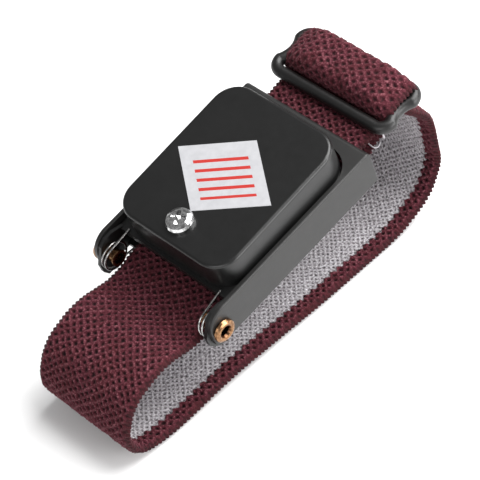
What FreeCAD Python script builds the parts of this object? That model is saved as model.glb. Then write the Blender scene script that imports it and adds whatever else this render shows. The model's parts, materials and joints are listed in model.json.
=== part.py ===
import FreeCAD, Part
import math
import os

import Sketcher
from FreeCAD import Placement, Rotation, Vector

# Cordless wrist strap: a knitted elastic band closed through a moulded clamp
# housing. Millimetres. Every housing piece is drawn in the housing's own axes,
# where X runs from the hinge to the slider, Y across the band and Z up from
# the lower edge of the side arms, and is then placed on the tilted housing.

DIMENSIONS = {
    # Stance of the housing above the table
    "housing_tilt": 10.2, "hinge_stand_x": -20.55, "hinge_stand_z": 21.8,
    # Band and the loop that it makes
    "band_width": 25.0, "band_thick": 1.5, "fold_thick": 0.8, "bridge_thick": 1.2, "seat_gap": 0.06,
    "fold_gap": 0.05, "tail_short": 5.4, "node_gap": 0.02,
    "loop_left_reach": 44.45, "loop_right_gap": 12.3, "loop_height": 19.5,
    "turn_straight": 8.6, "turn_entry": 2.4, "run_straight": 1.2,
    # Moulded frame with arms, ears and end deck
    "frame_left_x": -25.3, "end_wall": 3.15, "frame_height": 8.9,
    "arm_thick": 1.05, "frame_width": 33.0, "floor_thick": 1.0,
    "floor_left_x": -18.3, "well_end_gap": 0.45, "end_round": 1.1,
    "ear_top_radius": 4.4, "ear_foot_radius": 1.4, "deck_thick": 1.1,
    "window_side_gap": 0.8, "window_depth": 6.7, "edge_round": 0.35,
    # Hinge
    "hinge_x": -22.8, "hinge_z": 3.7, "barrel_radius": 1.5,
    "bore_radius": 1.1, "pivot_clearance": 0.05, "flange_radius": 2.5,
    "flange_rise": 1.15, "inner_flange_radius": 1.75, "inner_flange_thick": 0.35,
    "flange_seat": 0.03, "inner_flange_y": 12.62,
    # Clamp lever
    "clamp_rest_angle": 1.9, "arm_side_gap": 0.14, "hinge_arm_thick": 0.8,
    "hinge_arm_foot": 4.2, "hinge_arm_toe": 3.4, "hinge_arm_top": 4.5,
    "hinge_arm_reach": 2.2,
    "hinge_arm_run": 12.0,
    "plate_thick": 1.5, "plate_lip": 0.8, "plate_right_gap": 0.4,
    # Cover
    "cover_length": 35.4, "cover_side_step": 0.31, "cover_left_x": -17.7,
    "cover_top_z": 14.15, "cover_skirt": 7.1, "cover_wall": 1.3,
    "cover_roof": 1.5, "cover_radius": 5.5, "cover_edge_round": 0.7,
    # Jaw
    "jaw_inset": 8.7, "jaw_length": 3.2, "jaw_width": 22.0, "tooth_pitch": 2.0,
    "tooth_height": 1.1, "tooth_count": 11, "jaw_gap": 0.08,
    # Discharge screw and its insert
    "screw_x": -13.0, "head_radius": 2.85, "head_height": 1.9,
    "thread_radius": 1.5, "screw_length": 7.6, "insert_radius": 2.1,
    "insert_length": 3.6, "boss_radius": 3.4, "recess_width": 0.85,
    "recess_span": 3.1, "recess_depth": 1.1, "screw_clearance": 0.15,
    "terminal_thick": 0.4, "terminal_radius": 3.0,
    # Resistor on the clamp plate
    "resistor_x": 1.0, "resistor_radius": 1.2, "resistor_length": 6.5,
    "resistor_cap": 0.15, "lead_radius": 0.3, "resistor_rise": 2.2,
    "strip_width": 3.0, "strip_thick": 0.3, "strip_right_x": -1.0,
    # Springs
    "wire_radius": 0.225, "coil_radius": 2.95, "coil_pitch": 0.88,
    "spring_leg": 1.6, "coil_side_gap": 0.06, "leg_seat": 0.04,
    # Anchor pin
    "pin_inset": 3.7, "pin_z": 4.15, "pin_radius": 1.0, "pin_wall_seat": 0.5,
    "pin_clearance": 0.03,
    # Skin plate
    "skin_length": 32.0, "skin_side_gap": 3.5, "skin_thick": 0.8,
    "skin_x": 0.6, "skin_radius": 3.0, "rivet_radius": 1.0,
    "rivet_inset": 3.4, "rivet_head_radius": 1.7, "rivet_head_depth": 0.4,
    # Slider
    "slider_reach": 10.95, "slider_z": 8.2, "slider_side_gap": 3.8,
    "bar_radius": 1.3, "slot_gap": 2.8, "slider_corner": 3.6,
    "waist_depth": 1.0,
    # Stitches and label
    "stitch_radius": 0.2, "stitch_length": 1.7, "stitch_count": 9, "stitch_pitch": 2.6,
    "fold_tail": 5.85, "seam_offset": 4.2, "tail_gap": 0.07,
    "label_half_x": 9.55, "label_half_y": 12.7, "label_thick": 0.12, "label_x": -0.5,
}

# Sizes that follow from the ones above, so that mating pieces keep together
DERIVED = {
    "cover_right_x": "=cover_left_x + cover_length",
    "cover_width": "=frame_width - 2 * (arm_thick + arm_side_gap + cover_side_step)",
    "opening_right_x": "=cover_right_x + well_end_gap",
    "opening_radius": "=cover_radius + well_end_gap",
    "frame_right_x": "=opening_right_x + end_wall",
    "window_width": "=band_width + 2 * window_side_gap",
    "window_left_x": "=frame_right_x - window_depth",
    "jaw_x": "=cover_right_x - plate_right_gap - jaw_inset",
    "pin_x": "=frame_right_x - pin_inset",
    "pin_length": "=frame_width - 2 * pin_wall_seat",
    "tail_end_x": "=pin_x - tail_short",
    "skin_width": "=frame_width - 2 * skin_side_gap",
    "slider_x": "=frame_right_x + slider_reach",
    "slider_width": "=band_width + 2 * slider_side_gap",
}

doc = FreeCAD.newDocument("wrist_strap")
sheet = doc.addObject("Spreadsheet::Sheet", "Dims")
for row, (name, value) in enumerate(list(DIMENSIONS.items()) + list(DERIVED.items()), 1):
    sheet.set(f"A{row}", name)
    sheet.set(f"B{row}", str(value))
    sheet.setAlias(f"B{row}", name)
doc.recompute()


def size(name):
    return float(getattr(sheet, name))


def bind(item, prop, expression):
    """Tie a property to sheet cells, named in the expression with a leading D."""
    item.setExpression(prop, expression.replace("D.", "Dims."))


# Placements

HINGE = Vector(size("hinge_x"), 0, size("hinge_z"))
STAND = Placement(
    Vector(size("hinge_stand_x"), 0, size("hinge_stand_z")) - HINGE,
    Rotation(Vector(0, 1, 0), -size("housing_tilt")), HINGE)
CLAMPED = STAND.multiply(Placement(
    Vector(0, 0, 0), Rotation(Vector(0, 1, 0), -size("clamp_rest_angle")), HINGE))

SUB_PARTS = []


def finish(item, placement):
    item.Placement = placement
    SUB_PARTS.append(item)
    return item


# Modelling helpers

def new_body(name):
    body = doc.addObject("PartDesign::Body", name)
    body.Label = name
    return body


def new_sketch(body, name, plane, offset=("0", "0", "0")):
    """Sketch on one of the body's own planes, shifted by sheet expressions."""
    sketch = body.newObject("Sketcher::SketchObject", name)
    role = [f for f in body.Origin.OriginFeatures if f.Role == plane][0]
    sketch.AttachmentSupport = [(role, "")]
    sketch.MapMode = "FlatFace"
    for axis, expression in zip("xyz", offset):
        if expression != "0":
            bind(sketch, f"AttachmentOffset.Base.{axis}", expression)
    return sketch


def rectangle(sketch, width, height):
    """Rectangle centred on the sketch's origin, its sides bound to the sheet."""
    corners = [Vector(-5, -5, 0), Vector(5, -5, 0), Vector(5, 5, 0), Vector(-5, 5, 0)]
    for i in range(4):
        sketch.addGeometry(Part.LineSegment(corners[i], corners[(i + 1) % 4]), False)
    for i in range(4):
        sketch.addConstraint(Sketcher.Constraint("Coincident", i, 2, (i + 1) % 4, 1))
    for i in (0, 2):
        sketch.addConstraint(Sketcher.Constraint("Horizontal", i))
    for i in (1, 3):
        sketch.addConstraint(Sketcher.Constraint("Vertical", i))
    sketch.addConstraint(Sketcher.Constraint("Symmetric", 0, 1, 2, 1, -1, 1))
    for line, name, expression in ((0, "width", width), (1, "height", height)):
        kind = "DistanceX" if name == "width" else "DistanceY"
        index = sketch.addConstraint(Sketcher.Constraint(kind, line, 1, line, 2, 10.0))
        sketch.renameConstraint(index, name)
        bind(sketch, f"Constraints.{name}", expression)


def circle(sketch, radius):
    """Circle on the sketch's origin, its radius bound to the sheet."""
    sketch.addGeometry(Part.Circle(Vector(0, 0, 0), Vector(0, 0, 1), 1.0), False)
    sketch.addConstraint(Sketcher.Constraint("Coincident", 0, 3, -1, 1))
    index = sketch.addConstraint(Sketcher.Constraint("Radius", 0, 1.0))
    sketch.renameConstraint(index, "radius")
    bind(sketch, "Constraints.radius", radius)


def outline(sketch, points):
    """Closed outline through points worked out from the sheet."""
    vectors = [Vector(x, y, 0) for x, y in points]
    for i, start in enumerate(vectors):
        end = vectors[(i + 1) % len(vectors)]
        sketch.addGeometry(Part.LineSegment(start, end), False)


def rounded(sketch, width, height, radius):
    """Rounded rectangle about the sketch's origin, worked out from the sheet."""
    for turn in range(4):
        flip = turn % 2
        a, b = (height, width) if flip else (width, height)
        spin = Rotation(Vector(0, 0, 1), 90 * turn)
        low = Vector(a / 2, -b / 2 + radius, 0)
        high = Vector(a / 2, b / 2 - radius, 0)
        s = radius * math.sqrt(0.5)
        bend = Vector(a / 2 - radius + s, b / 2 - radius + s, 0)
        end = Vector(a / 2 - radius, b / 2, 0)
        low, high, bend, end = [spin.multVec(v) for v in (low, high, bend, end)]
        sketch.addGeometry(Part.LineSegment(low, high), False)
        sketch.addGeometry(Part.Arc(high, bend, end), False)


def pad(body, name, sketch, length, middle=False, backwards=False):
    feature = body.newObject("PartDesign::Pad", name)
    feature.Profile = sketch
    bind(feature, "Length", length)
    feature.Midplane = middle
    feature.Reversed = backwards
    doc.recompute()
    return feature


def pocket(body, name, sketch, length, middle=False, backwards=False):
    before = body.Shape.Volume
    feature = body.newObject("PartDesign::Pocket", name)
    feature.Profile = sketch
    bind(feature, "Length", length)
    feature.Midplane = middle
    feature.Reversed = backwards
    doc.recompute()
    if body.Shape.Volume > before - 1e-6:
        raise RuntimeError(f"{body.Label}: {name} cuts nothing")
    return feature


def revolve(body, name, points, about="V_Axis", plane="XZ_Plane", offset=("0", "0", "0")):
    """Full turn of a closed half section about the sketch's own axis."""
    sketch = new_sketch(body, name + "_section", plane, offset)
    outline(sketch, points)
    feature = body.newObject("PartDesign::Revolution", name)
    feature.Profile = sketch
    feature.ReferenceAxis = (sketch, [about])
    feature.Angle = 360.0
    doc.recompute()
    return feature


def round_edges(body, name, radius, wanted):
    """Fillet the edges of the body's tip whose end points pass the test."""
    tip = body.Tip
    names = []
    for i, edge in enumerate(tip.Shape.Edges, 1):
        ends = [v.Point for v in edge.Vertexes]
        if len(ends) == 2 and wanted(ends[0], ends[1]):
            names.append(f"Edge{i}")
    if not names:
        raise RuntimeError(f"{body.Label}: {name} finds no edge")
    feature = body.newObject("PartDesign::Fillet", name)
    feature.Base = (tip, names)
    bind(feature, "Radius", radius)
    doc.recompute()
    return feature


def same(a, b):
    return abs(a - b) < 1e-4


def along(axis, a, b):
    """True where the edge from a to b runs along one axis only."""
    others = [k for k in range(3) if k != axis]
    return all(same(a[k], b[k]) for k in others) and not same(a[axis], b[axis])


# Band: a centre line of straight runs joined by tangent arcs, thickened both ways

def rounded_path(points, radii=None):
    """Pieces of the centre line: ('line', a, b) and ('arc', a, b, centre, turn)."""
    vectors = [Vector(x, 0, z) for x, z in points]
    pieces = []
    start = vectors[0]
    for i in range(1, len(vectors) - 1):
        before = vectors[i] - vectors[i - 1]
        after = vectors[i + 1] - vectors[i]
        turn = before.getAngle(after)
        way = 1 if before.x * after.z - before.z * after.x > 0 else -1
        run = min(before.Length, after.Length) * 0.45
        radius = run / math.tan(turn / 2)
        if radii and radii[i]:
            radius = min(radius, radii[i])
        back = radius * math.tan(turn / 2)
        enter = vectors[i] - Vector(before).normalize() * back
        leave = vectors[i] + Vector(after).normalize() * back
        side = Vector(-before.z, 0, before.x).normalize() * way
        centre = enter + side * radius
        pieces.append(("line", start, enter))
        pieces.append(("arc", enter, leave, centre, way))
        start = leave
    pieces.append(("line", start, vectors[-1]))
    return pieces


def shifted(piece, distance):
    """Edge of one piece moved sideways, left of its way for a positive distance."""
    if piece[0] == "line":
        way = piece[2] - piece[1]
        side = Vector(-way.z, 0, way.x).normalize() * distance
        return piece[1] + side, None, piece[2] + side
    _, enter, leave, centre, way = piece
    radius = (enter - centre).Length - way * distance
    a = centre + Vector(enter - centre).normalize() * radius
    b = centre + Vector(leave - centre).normalize() * radius
    middle = (enter - centre).normalize() + (leave - centre).normalize()
    return a, centre + middle.normalize() * radius, b


def band_piece(name, points, thick="band_thick", radii=None):
    """A stretch of band as a sketched outline, padded across its width."""
    body = new_body(name)
    sketch = new_sketch(body, name + "_outline", "XZ_Plane")
    half = size(thick) / 2
    pieces = rounded_path(points, radii)
    length = 0.0
    sides = []
    for distance in (half, -half):
        row = [shifted(p, distance) for p in pieces]
        sides.append(row)
    for row in sides:
        for a, middle, b in row:
            if (b - a).Length < 1e-6:
                continue
            flat = [Vector(p.x, p.z, 0) if p else None for p in (a, middle, b)]
            if middle is None:
                sketch.addGeometry(Part.LineSegment(flat[0], flat[2]), False)
            else:
                sketch.addGeometry(Part.Arc(flat[0], flat[1], flat[2]), False)
    for row_end in (0, -1):
        a = sides[0][row_end][0 if row_end == 0 else 2]
        b = sides[1][row_end][0 if row_end == 0 else 2]
        sketch.addGeometry(Part.LineSegment(Vector(a.x, a.z, 0), Vector(b.x, b.z, 0)), False)
    for piece in pieces:
        if piece[0] == "line":
            length += (piece[2] - piece[1]).Length
        else:
            radius = (piece[1] - piece[3]).Length
            length += radius * (piece[1] - piece[3]).getAngle(piece[2] - piece[3])
    pad(body, name + "_width", sketch, "D.band_width", middle=True)
    print(f"{name}: centre line {length:.1f} mm")
    return finish(body, Placement())


# Frame: moulded floor, two side arms with ears, and the bridging end deck

def make_frame():
    body = new_body("frame_channel")
    side = new_sketch(body, "frame_side", "XZ_Plane",
                      ("(D.frame_left_x + D.frame_right_x) / 2", "D.frame_height / 2", "0"))
    rectangle(side, "D.frame_right_x - D.frame_left_x", "D.frame_height")
    pad(body, "frame_block", side, "D.frame_width", middle=True)
    left, right = size("frame_left_x"), size("frame_right_x")
    top = size("frame_height")
    round_edges(body, "ear_top", "D.ear_top_radius",
                lambda a, b: along(1, a, b) and same(a.x, left) and same(a.z, top))
    round_edges(body, "ear_foot", "D.ear_foot_radius",
                lambda a, b: along(1, a, b) and same(a.x, left) and same(a.z, 0))
    round_edges(body, "end_top", "D.end_round",
                lambda a, b: along(1, a, b) and same(a.x, right) and same(a.z, top))
    inside = new_sketch(body, "clamp_opening", "XY_Plane",
                        ("(D.frame_left_x - 4 + D.opening_right_x) / 2", "0", "D.frame_height"))
    rectangle(inside, "D.opening_right_x - D.frame_left_x + 4",
              "D.frame_width - 2 * D.arm_thick")
    pocket(body, "clamp_well", inside, "D.frame_height - D.floor_thick")
    corner = size("opening_right_x")
    round_edges(body, "well_corners", "D.opening_radius",
                lambda a, b: along(2, a, b) and same(a.x, corner))
    mouth = new_sketch(body, "band_mouth", "XY_Plane",
                       ("(D.frame_left_x - 4 + D.floor_left_x) / 2", "0", "D.floor_thick"))
    rectangle(mouth, "D.floor_left_x - D.frame_left_x + 4", "D.frame_width - 2 * D.arm_thick")
    pocket(body, "mouth_cut", mouth, "D.floor_thick")
    window = new_sketch(body, "band_window", "YZ_Plane",
                        ("0", "(D.frame_height - D.deck_thick + D.floor_thick) / 2",
                         "D.window_left_x"))
    rectangle(window, "D.window_width", "D.frame_height - D.deck_thick - D.floor_thick")
    pocket(body, "window_cut", window, "D.frame_right_x - D.window_left_x + 1", backwards=True)
    pin_hole = new_sketch(body, "pin_seat", "XZ_Plane", ("D.pin_x", "D.pin_z", "0"))
    circle(pin_hole, "D.pin_radius + D.pin_clearance")
    pocket(body, "pin_seats", pin_hole, "D.pin_length + 0.1", middle=True)
    eye = new_sketch(body, "eyelet_hole", "XZ_Plane", ("D.hinge_x", "D.hinge_z", "0"))
    circle(eye, "D.barrel_radius + 0.01")
    pocket(body, "eyelet_holes", eye, "D.frame_width + 2", middle=True)
    for index, (y_side, x_side) in enumerate(((-1, 1), (1, -1))):
        plate_rivet_hole(body, index, y_side, x_side)
    half = size("frame_width") / 2
    round_edges(body, "arm_edges", "D.edge_round",
                lambda a, b: along(0, a, b) and same(a.z, top) and same(abs(a.y), half))
    return finish(body, STAND)


def plate_rivet_hole(body, index, y_side, x_side):
    hole = new_sketch(body, f"rivet_seat_{index}", "XY_Plane", (
        f"D.skin_x + {x_side} * (D.skin_length / 2 - D.rivet_inset)",
        f"{y_side} * (D.skin_width / 2 - D.rivet_inset)", "D.floor_thick"))
    circle(hole, "D.rivet_radius + 0.01")
    pocket(body, f"rivet_hole_{index}", hole, "D.floor_thick")


# Hinge eyelets: rolled tubular rivets

def eyelet_section():
    """Half section along the hinge axis, from the outer roll to the inner flange."""
    bore, barrel = size("bore_radius"), size("barrel_radius")
    outer = size("frame_width") / 2
    roll, rise = size("flange_radius"), size("flange_rise")
    flange_in = size("inner_flange_y")
    inner, thick = size("inner_flange_radius"), size("inner_flange_thick")
    seat = size("flange_seat")
    return [
        (bore, flange_in - thick), (inner, flange_in - thick), (inner, flange_in),
        (barrel, flange_in), (barrel, outer + seat), (roll * 0.92, outer + seat),
        (roll, outer + seat + rise * 0.3), (roll * 0.95, outer + rise * 0.72),
        (roll * 0.82, outer + rise * 0.93), (roll * 0.68, outer + rise),
        (bore * 1.24, outer + rise * 0.86), (bore, outer + rise * 0.45),
    ]


def coil_outer_y():
    arm_inner = size("frame_width") / 2 - size("arm_thick")
    return arm_inner - size("arm_side_gap") - size("hinge_arm_thick")


def make_eyelet(name, side):
    body = new_body(name)
    points = [(x, side * y) for x, y in eyelet_section()]
    revolve(body, name + "_roll", points, plane="XY_Plane")
    move = Placement(HINGE, Rotation())
    return finish(body, STAND.multiply(move))


# Clamp lever: base plate, hinge arms, jaw and what is fixed on them

def plate_top_z():
    return size("cover_top_z") - size("cover_skirt")


def make_clamp_plate():
    body = new_body("clamp_plate")
    left = "(D.cover_left_x - D.plate_lip)"
    right = "(D.cover_left_x + D.cover_length - D.plate_right_gap)"
    outline_sketch = new_sketch(body, "plate_outline", "XY_Plane",
                                (f"({left} + {right}) / 2", "0", "D.cover_top_z - D.cover_skirt"))
    rectangle(outline_sketch, f"{right} - {left}",
              "D.frame_width - 2 * D.arm_thick - 2 * D.arm_side_gap")
    pad(body, "plate", outline_sketch, "D.plate_thick", backwards=True)
    round_edges(body, "plate_corners", "D.cover_radius", lambda a, b: along(2, a, b))
    arm = new_sketch(body, "hinge_arm_side", "XZ_Plane")
    reach, top = size("hinge_arm_reach"), size("hinge_arm_top")
    foot, toe = size("hinge_arm_foot"), size("hinge_arm_toe")
    hx, hz = HINGE.x, HINGE.z
    z_low = plate_top_z() - size("plate_thick")
    x_end = size("cover_left_x") + size("hinge_arm_run")
    outline(arm, [
        (hx - toe, hz - 0.1 * foot), (hx - toe, hz - 0.6 * foot), (hx - 0.75 * toe, hz - foot),
        (hx + 0.1 * reach, hz - foot), (hx + reach, hz - 0.6 * foot),
        (hx + 2.2 * reach, z_low - 0.6), (x_end, z_low), (x_end, plate_top_z()),
        (hx + 2.4 * reach, plate_top_z()), (hx + reach, hz + top),
        (hx + 0.1 * reach, hz + top), (hx - 0.62 * reach, hz + 0.78 * top),
        (hx - 0.95 * reach, hz + 0.45 * top)])
    pad(body, "hinge_arm_block", arm,
        "D.frame_width - 2 * D.arm_thick - 2 * D.arm_side_gap", middle=True)
    gap = new_sketch(body, "between_arms", "XY_Plane",
                     ("(D.frame_left_x - 4 + D.cover_left_x - D.plate_lip) / 2", "0",
                      "D.cover_top_z"))
    rectangle(gap, "D.cover_left_x - D.plate_lip - D.frame_left_x + 4",
              "D.frame_width - 2 * (D.arm_thick + D.arm_side_gap + D.hinge_arm_thick)")
    pocket(body, "band_gap", gap, "D.cover_top_z + 4")
    lip = new_sketch(body, "over_lip", "XY_Plane",
                     ("(D.frame_left_x + D.cover_left_x) / 2", "0",
                      "D.cover_top_z - D.cover_skirt"))
    rectangle(lip, "D.cover_left_x - D.frame_left_x + 4",
              "D.frame_width - 2 * (D.arm_thick + D.arm_side_gap + D.hinge_arm_thick)")
    pocket(body, "lip_cut", lip, "D.hinge_arm_top", backwards=True)
    under = new_sketch(body, "under_plate", "XY_Plane",
                       ("0", "0", "D.cover_top_z - D.cover_skirt - D.plate_thick"))
    rectangle(under, "2 * (D.frame_right_x - D.frame_left_x)",
              "D.frame_width - 2 * (D.arm_thick + D.arm_side_gap + D.hinge_arm_thick)")
    pocket(body, "under_cut", under, "D.cover_top_z")
    clear_skirt = new_sketch(body, "skirt_room", "XY_Plane",
                             ("D.cover_left_x + D.cover_length / 2", "0",
                              "D.cover_top_z - D.cover_skirt"))
    rectangle(clear_skirt, "D.cover_length + 0.04", "D.cover_width + 6")
    pocket(body, "skirt_cut", clear_skirt, "D.cover_skirt", backwards=True)
    post = new_sketch(body, "screw_boss", "XY_Plane",
                      ("D.screw_x", "0", "D.cover_top_z - D.cover_skirt - D.plate_thick"))
    circle(post, "D.boss_radius")
    pad(body, "boss", post,
        "D.plate_thick + D.cover_skirt - D.cover_roof - D.terminal_thick")
    bore = new_sketch(body, "insert_seat", "XY_Plane",
                      ("D.screw_x", "0", "D.cover_top_z - D.cover_roof - D.terminal_thick"))
    circle(bore, "D.insert_radius + 0.02")
    pocket(body, "insert_bore", bore, "D.insert_length")
    through = new_sketch(body, "screw_way", "XY_Plane", ("D.screw_x", "0", "D.cover_top_z"))
    circle(through, "D.thread_radius + D.screw_clearance")
    pocket(body, "screw_bore", through, "D.cover_top_z")
    eye = new_sketch(body, "pivot_hole", "XZ_Plane", ("D.hinge_x", "D.hinge_z", "0"))
    circle(eye, "D.barrel_radius + D.pivot_clearance")
    pocket(body, "pivot_holes", eye, "D.frame_width", middle=True)
    seat = new_sketch(body, "jaw_seat", "XY_Plane",
                      ("D.jaw_x", "0", "D.cover_top_z - D.cover_skirt - D.plate_thick"))
    rectangle(seat, "D.jaw_length + 0.04", "D.jaw_width + 0.04")
    pocket(body, "jaw_slot", seat, "D.plate_thick / 2", backwards=True)
    return finish(body, CLAMPED)


def jaw_tip_z():
    """Tooth tips, in the closed lever's axes, just above the clamped band."""
    rest_z = size("floor_thick") + 2 * size("seat_gap") + size("band_thick") + size("jaw_gap")
    arm = size("jaw_x") + size("jaw_length") / 2 - HINGE.x
    return rest_z - arm * math.tan(math.radians(size("clamp_rest_angle")))


def make_jaw():
    body = new_body("clamp_jaw")
    base = plate_top_z() - size("plate_thick") / 2
    side = new_sketch(body, "jaw_bar", "YZ_Plane", ("0", "0", "D.jaw_x - D.jaw_length / 2"))
    half = size("jaw_width") / 2
    root = jaw_tip_z() + size("tooth_height")
    outline(side, [(-half, root), (half, root), (half, base), (-half, base)])
    pad(body, "bar", side, "D.jaw_length")
    tooth = new_sketch(body, "tooth", "YZ_Plane",
                       ("-(D.tooth_count - 1) / 2 * D.tooth_pitch", "0",
                        "D.jaw_x - D.jaw_length / 2"))
    wide = size("tooth_pitch") * 0.42
    outline(tooth, [(-wide, root + 0.2), (wide, root + 0.2), (0.15, jaw_tip_z()),
                    (-0.15, jaw_tip_z())])
    first = pad(body, "first_tooth", tooth, "D.jaw_length")
    row = body.newObject("PartDesign::LinearPattern", "teeth")
    row.Originals = [first]
    row.Direction = (tooth, ["H_Axis"])
    bind(row, "Length", "(D.tooth_count - 1) * D.tooth_pitch")
    bind(row, "Occurrences", "D.tooth_count")
    body.Tip = row
    doc.recompute()
    return finish(body, CLAMPED)


def make_cover():
    body = new_body("cover_shell")
    middle = "D.cover_left_x + D.cover_length / 2"
    plan = new_sketch(body, "cover_plan", "XY_Plane", (middle, "0", "D.cover_top_z"))
    rectangle(plan, "D.cover_length", "D.cover_width")
    pad(body, "cover_block", plan, "D.cover_skirt", backwards=True)
    round_edges(body, "cover_corners", "D.cover_radius", lambda a, b: along(2, a, b))
    top = size("cover_top_z")
    round_edges(body, "cover_rim", "D.cover_edge_round",
                lambda a, b: same(a.z, top) and same(b.z, top))
    hollow = new_sketch(body, "cover_hollow", "XY_Plane",
                        (middle, "0", "D.cover_top_z - D.cover_skirt"))
    wall = size("cover_wall")
    rounded(hollow, size("cover_length") - 2 * wall, size("cover_width") - 2 * wall,
            size("cover_radius") - wall)
    pocket(body, "hollow", hollow, "D.cover_skirt - D.cover_roof", backwards=True)
    hole = new_sketch(body, "screw_hole", "XY_Plane", ("D.screw_x", "0", "D.cover_top_z"))
    circle(hole, "D.thread_radius + D.screw_clearance")
    pocket(body, "screw_through", hole, "D.cover_roof + 0.5")
    return finish(body, CLAMPED)


def make_screw():
    body = new_body("discharge_screw")
    head, rise = size("head_radius"), size("head_height")
    thread = size("thread_radius")
    top = size("cover_top_z")
    tip = top - size("screw_length")
    revolve(body, "screw_turned", [
        (0, tip), (thread * 0.7, tip), (thread, tip + 0.5), (thread, top), (head, top),
        (head, top + rise * 0.38), (head * 0.9, top + rise * 0.68),
        (head * 0.66, top + rise * 0.9), (head * 0.34, top + rise * 0.985), (0, top + rise)])
    for index, (across, length) in enumerate((("D.recess_span", "D.recess_width"),
                                              ("D.recess_width", "D.recess_span"))):
        cross = new_sketch(body, f"recess_{index}", "XY_Plane",
                           ("0", "0", "D.cover_top_z + D.head_height"))
        rectangle(cross, across, length)
        pocket(body, f"recess_cut_{index}", cross, "D.recess_depth")
    move = Placement(Vector(size("screw_x"), 0, 0), Rotation(Vector(0, 0, 1), 28))
    return finish(body, CLAMPED.multiply(move))


def make_insert():
    body = new_body("threaded_insert")
    top = size("cover_top_z") - size("cover_roof") - size("terminal_thick")
    low = top - size("insert_length")
    outer, inner = size("insert_radius"), size("thread_radius") + 0.01
    groove = (top + low) / 2
    revolve(body, "insert_turned", [
        (inner, low), (outer, low), (outer, groove - 0.35), (outer - 0.25, groove - 0.25),
        (outer - 0.25, groove + 0.25), (outer, groove + 0.35), (outer, top), (inner, top)])
    move = Placement(Vector(size("screw_x"), 0, 0), Rotation())
    return finish(body, CLAMPED.multiply(move))


def make_terminal():
    body = new_body("lead_terminal")
    ring = new_sketch(body, "terminal_ring", "XY_Plane",
                      ("D.screw_x", "0", "D.cover_top_z - D.cover_roof"))
    circle(ring, "D.terminal_radius")
    pad(body, "ring", ring, "D.terminal_thick", backwards=True)
    tag = new_sketch(body, "terminal_tag", "XY_Plane",
                     ("D.screw_x + D.terminal_radius + 0.4", "0", "D.cover_top_z - D.cover_roof"))
    rectangle(tag, "D.terminal_radius", "D.terminal_radius * 0.6")
    pad(body, "tag", tag, "D.terminal_thick", backwards=True)
    hole = new_sketch(body, "terminal_hole", "XY_Plane",
                      ("D.screw_x", "0", "D.cover_top_z - D.cover_roof"))
    circle(hole, "D.thread_radius + D.screw_clearance")
    pocket(body, "hole", hole, "D.terminal_thick")
    return finish(body, CLAMPED)


def resistor_z():
    return plate_top_z() + size("resistor_rise")


def make_resistor():
    body = new_body("resistor_body")
    half, radius = size("resistor_length") / 2, size("resistor_radius")
    waist = radius - size("resistor_cap")
    revolve(body, "resistor_turned", [
        (0, -half), (radius * 0.7, -half), (radius, -half + 0.4), (radius, -half + 1.5),
        (waist, -half + 1.9), (waist, half - 1.9), (radius, half - 1.5),
        (radius, half - 0.4), (radius * 0.7, half), (0, half)], plane="XY_Plane")
    move = Placement(Vector(size("resistor_x"), 0, resistor_z()), Rotation())
    return finish(body, CLAMPED.multiply(move))


def lead(name, points):
    """Bent wire of round section along straight runs with rounded bends."""
    radius = size("lead_radius")
    vectors = [Vector(*p) for p in points]
    edges = []
    start = vectors[0]
    for i in range(1, len(vectors) - 1):
        before = Vector(vectors[i] - vectors[i - 1]).normalize()
        after = Vector(vectors[i + 1] - vectors[i]).normalize()
        turn = before.getAngle(after)
        back = 2.2 * radius * math.tan(turn / 2)
        enter, leave = vectors[i] - before * back, vectors[i] + after * back
        inward = Vector(after - before).normalize()
        middle = vectors[i] + inward * (2.2 * radius / math.cos(turn / 2) - 2.2 * radius)
        edges.append(Part.LineSegment(start, enter).toShape())
        edges.append(Part.Arc(enter, middle, leave).toShape())
        start = leave
    edges.append(Part.LineSegment(start, vectors[-1]).toShape())
    return wire_solid(name, edges, radius, CLAMPED)


def wire_solid(name, edges, radius, placement):
    path = Part.Wire(edges)
    first = edges[0]
    begin = first.Vertexes[0].Point
    way = first.tangentAt(first.FirstParameter)
    profile = Part.Wire([Part.Circle(begin, way, radius).toShape()])
    item = doc.addObject("Part::Feature", name)
    item.Label = name
    item.Shape = path.makePipeShell([profile], True, False)
    return finish(item, placement)


def make_leads():
    x, z = size("resistor_x"), resistor_z()
    end = size("resistor_length") / 2
    gap = 0.02
    tag_z = size("cover_top_z") - size("cover_roof") - size("terminal_thick")
    tag_x = size("screw_x") + 1.4 * size("terminal_radius") + 0.1
    lead("resistor_lead_front", [
        (x, -end - gap, z), (x, -end - 2.2, z), (tag_x, -end - 2.2, z),
        (tag_x, 0, z), (tag_x, 0, tag_z - gap)])
    lead("resistor_lead_rear", [
        (x, end + gap, z), (x, end + 2.4, z), (x, end + 2.4, plate_top_z() + size("strip_thick"))])


def make_contact_strip():
    body = new_body("contact_strip")
    y = "(D.resistor_length / 2 + 2.4)"
    plan = new_sketch(body, "strip_plan", "XY_Plane",
                      ("(D.cover_left_x + D.cover_wall + 1.3 + D.resistor_x + 1.5) / 2", y,
                       "D.cover_top_z - D.cover_skirt"))
    rectangle(plan, "D.resistor_x + 0.2 - D.cover_left_x - D.cover_wall", "D.strip_width")
    pad(body, "strip", plan, "D.strip_thick - 0.01")
    return finish(body, CLAMPED)


def make_label():
    body = new_body("cover_label")
    plan = new_sketch(body, "label_plan", "XY_Plane")
    wide, deep = size("label_half_x"), size("label_half_y")
    outline(plan, [(-wide, 0), (0, -deep), (wide, 0), (0, deep)])
    pad(body, "label", plan, "D.label_thick")
    move = Placement(Vector(size("label_x"), 0, size("cover_top_z") + 0.005), Rotation())
    return finish(body, CLAMPED.multiply(move))


# Torsion springs: two turns on each eyelet, one leg on the floor, one on the plate

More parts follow.
